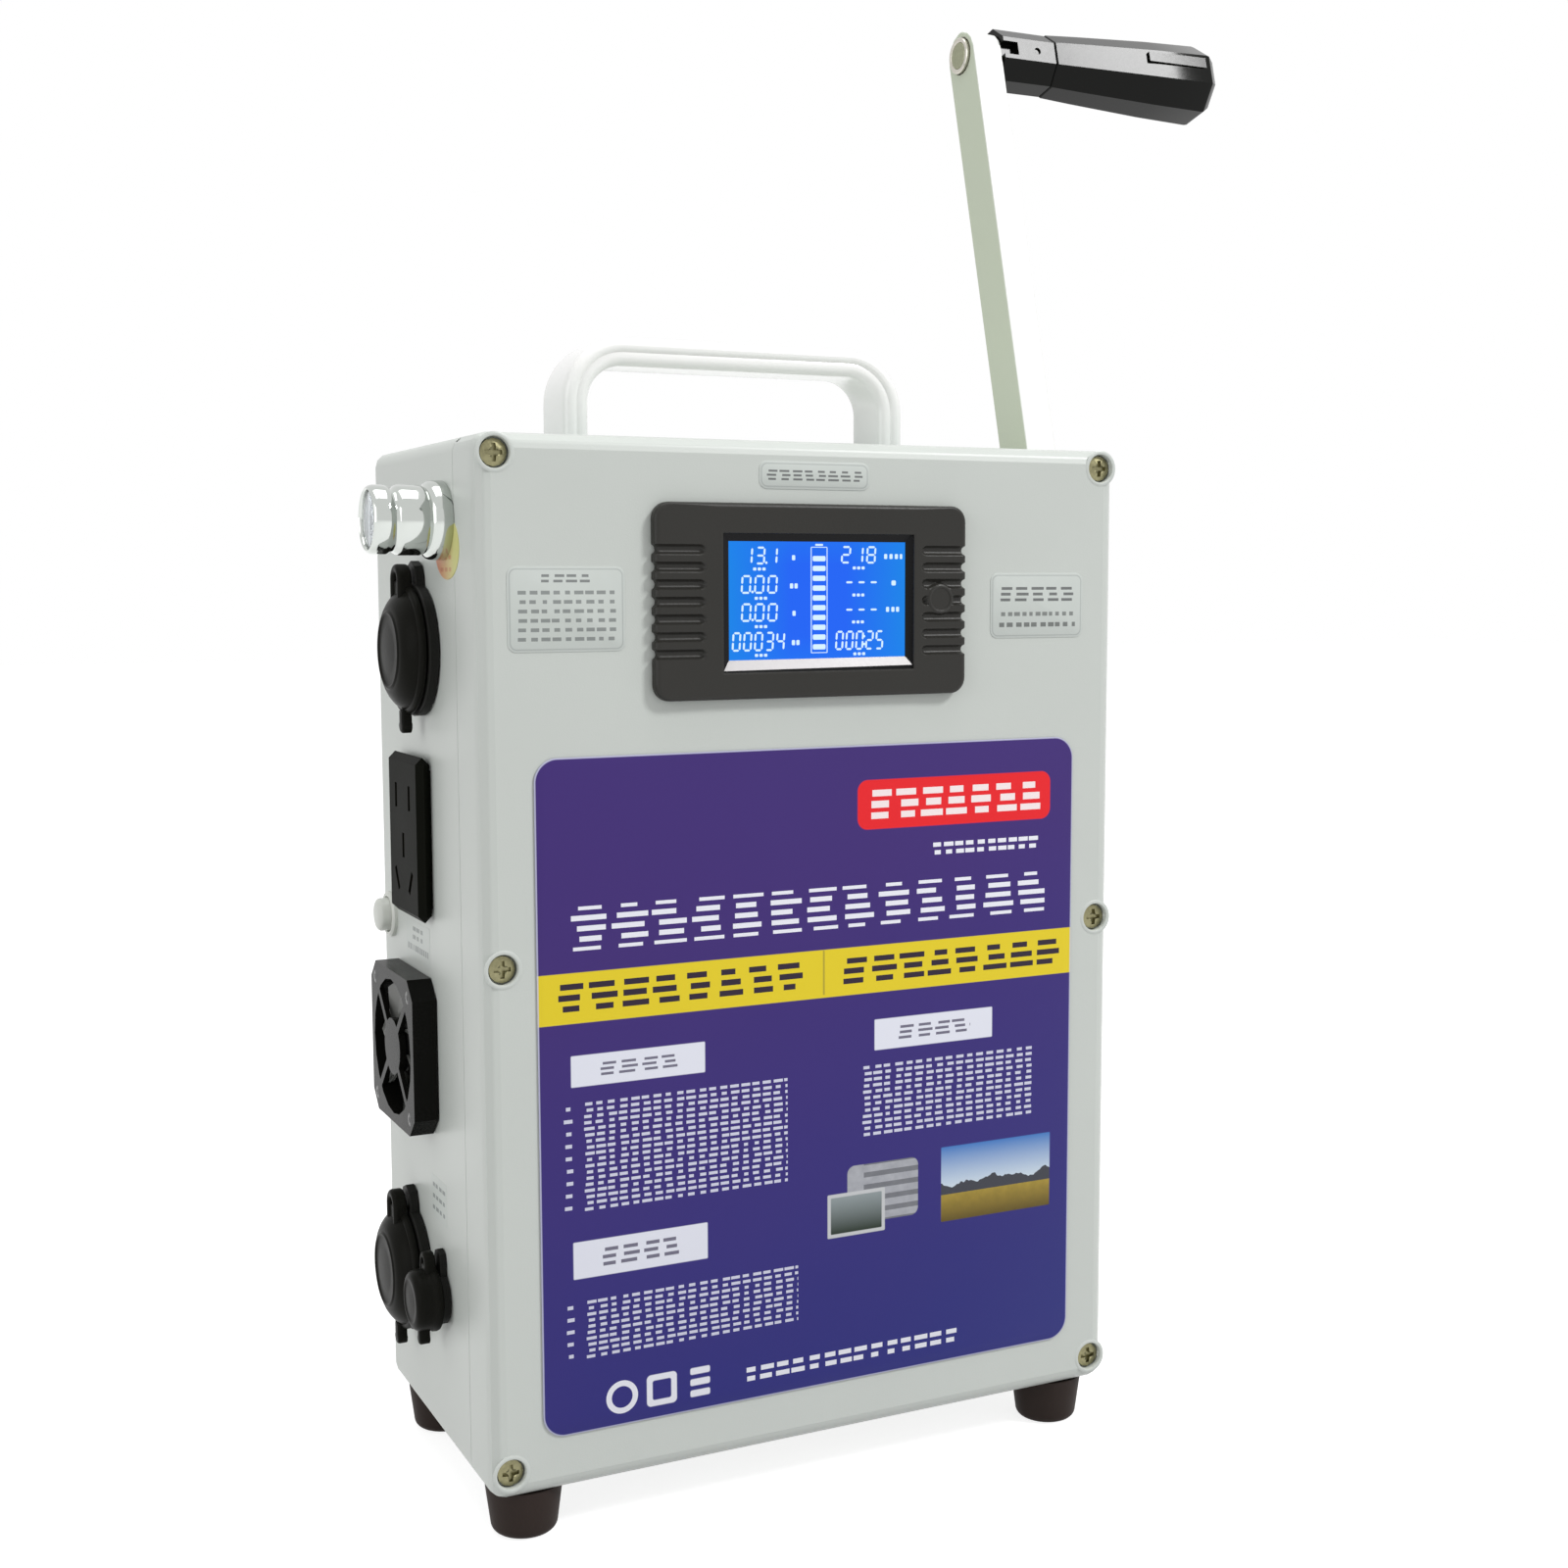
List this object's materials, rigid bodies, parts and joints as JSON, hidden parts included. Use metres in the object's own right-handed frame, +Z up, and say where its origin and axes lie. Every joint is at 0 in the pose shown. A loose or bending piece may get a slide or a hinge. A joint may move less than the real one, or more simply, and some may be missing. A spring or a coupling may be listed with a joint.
{
  "type": "hand crank generator",
  "caption": "Upright boxed hand crank generator with carrying handle, panel meter, side sockets with caps, fan, lamp and a long crank arm with a spinning grip.",
  "frame": {"origin": "under the middle of the whole object, on the plane of the feet's undersides", "axes": "+X to the right of someone facing the front, along the crank shaft; +Y from the front face to the back; +Z up"},
  "size_m": [0.3046, 0.1138, 0.4209],
  "materials": {
    "case_plastic": "light grey moulded case plastic",
    "black_plastic": "black moulded plastic",
    "black_rubber": "black rubber",
    "white_plastic": "off-white plastic",
    "label_print": "printed film label",
    "screen": "lit blue display window",
    "aluminium": "satin aluminium",
    "painted_arm": "white painted metal",
    "zinc": "dull plated steel",
    "chrome": "bright chrome",
    "steel": "machined steel",
    "brass": "plain brass",
    "lens": "clear moulded lens",
    "battery_wrap": "heat-shrink battery wrap",
    "board": "circuit board with components"
  },
  "bodies": {
    "case": {"case_body": "case_plastic", "front_cover": "case_plastic", "cover_seal": "black_rubber", "cover_screw_1": "zinc", "cover_screw_2": "zinc", "cover_screw_3": "zinc", "cover_screw_4": "zinc", "cover_screw_5": "zinc", "cover_screw_6": "zinc", "foot_1": "black_rubber", "foot_2": "black_rubber", "foot_3": "black_rubber", "foot_4": "black_rubber", "carry_handle": "aluminium", "handle_screw_1": "zinc", "handle_screw_2": "zinc", "meter_bezel": "black_plastic", "meter_body": "black_plastic", "meter_screen": "screen", "front_label": "label_print", "lamp_housing": "chrome", "lamp_lens": "lens", "lamp_nut": "brass", "dc_socket": "black_plastic", "dc_socket_nut": "black_plastic", "ac_outlet": "black_plastic", "output_button_bezel": "white_plastic", "fan_frame": "black_plastic", "usb_socket": "black_plastic", "usb_socket_nut": "black_plastic", "charge_jack": "black_plastic", "shaft_bush": "brass", "gear_frame_outer": "steel", "gear_frame_inner": "steel", "cluster_pin": "steel", "generator_can": "zinc", "generator_end_plate": "zinc", "stator": "steel", "battery_pack": "battery_wrap", "inverter_board": "board", "controller_board": "board", "heatsink": "aluminium"},
    "crank": {"crank_arm": "painted_arm", "crank_shaft": "steel", "crank_hub_screw": "zinc", "crank_gear": "steel", "grip_collar": "black_plastic", "grip_spindle": "zinc", "grip_nut": "zinc"},
    "grip_body": {"grip": "black_plastic"},
    "cluster": {"cluster_gear": "steel"},
    "rotor": {"rotor_pinion": "steel", "magnet_rotor": "steel"},
    "fan": {"fan_rotor": "black_plastic"},
    "dc_cap": {"dc_socket_cap": "black_rubber"},
    "usb_cap": {"usb_socket_cap": "black_rubber"},
    "jack_cap": {"charge_jack_cap": "black_rubber"},
    "meter_button": {"meter_key": "black_plastic"},
    "output_key": {"output_button": "white_plastic"}
  },
  "joints": [
    {"name": "crank_turn", "type": "hinge", "parent": "case", "child": "crank", "pos_m": [0.05925, -0.0053, 0.217], "axis": [1, 0, 0], "continuous": true},
    {"name": "cluster_turn", "type": "hinge", "parent": "case", "child": "cluster", "pos_m": [0.02865, -0.0053, 0.1795], "axis": [1, 0, 0], "continuous": true},
    {"name": "rotor_turn", "type": "hinge", "parent": "case", "child": "rotor", "pos_m": [0.01705, -0.0053, 0.142], "axis": [1, 0, 0], "continuous": true},
    {"name": "grip_spin", "type": "hinge", "parent": "crank", "child": "grip_body", "pos_m": [0.08925, 0.04461, 0.40861], "axis": [1, 0, 0], "continuous": true},
    {"name": "fan_spin", "type": "hinge", "parent": "case", "child": "fan", "pos_m": [-0.13275, 0.0087, 0.118], "axis": [1, 0, 0], "continuous": true},
    {"name": "dc_cap_swing", "type": "hinge", "parent": "case", "child": "dc_cap", "pos_m": [-0.13705, -0.0048, 0.2482], "axis": [0, 1, 0], "range_deg": [0, 90]},
    {"name": "usb_cap_swing", "type": "hinge", "parent": "case", "child": "usb_cap", "pos_m": [-0.13705, 0.0135, 0.077], "axis": [0, 1, 0], "range_deg": [0, 120]},
    {"name": "jack_cap_swing", "type": "hinge", "parent": "case", "child": "jack_cap", "pos_m": [-0.13625, -0.0138, 0.067], "axis": [0, 1, 0], "range_deg": [0, 120]},
    {"name": "meter_key_press", "type": "slide", "parent": "case", "child": "meter_button", "axis": [0, 1, 0], "range_m": [0, 0.0008], "stiffness_N_per_m": 400, "springref_m": -0.0005},
    {"name": "output_button_press", "type": "slide", "parent": "case", "child": "output_key", "axis": [1, 0, 0], "range_m": [0, 0.002], "stiffness_N_per_m": 500, "springref_m": -0.0006}
  ],
  "couplings": [
    {"joint": "cluster_turn", "follows": "crank_turn", "ratio": -4},
    {"joint": "rotor_turn", "follows": "crank_turn", "ratio": 16}
  ]
}
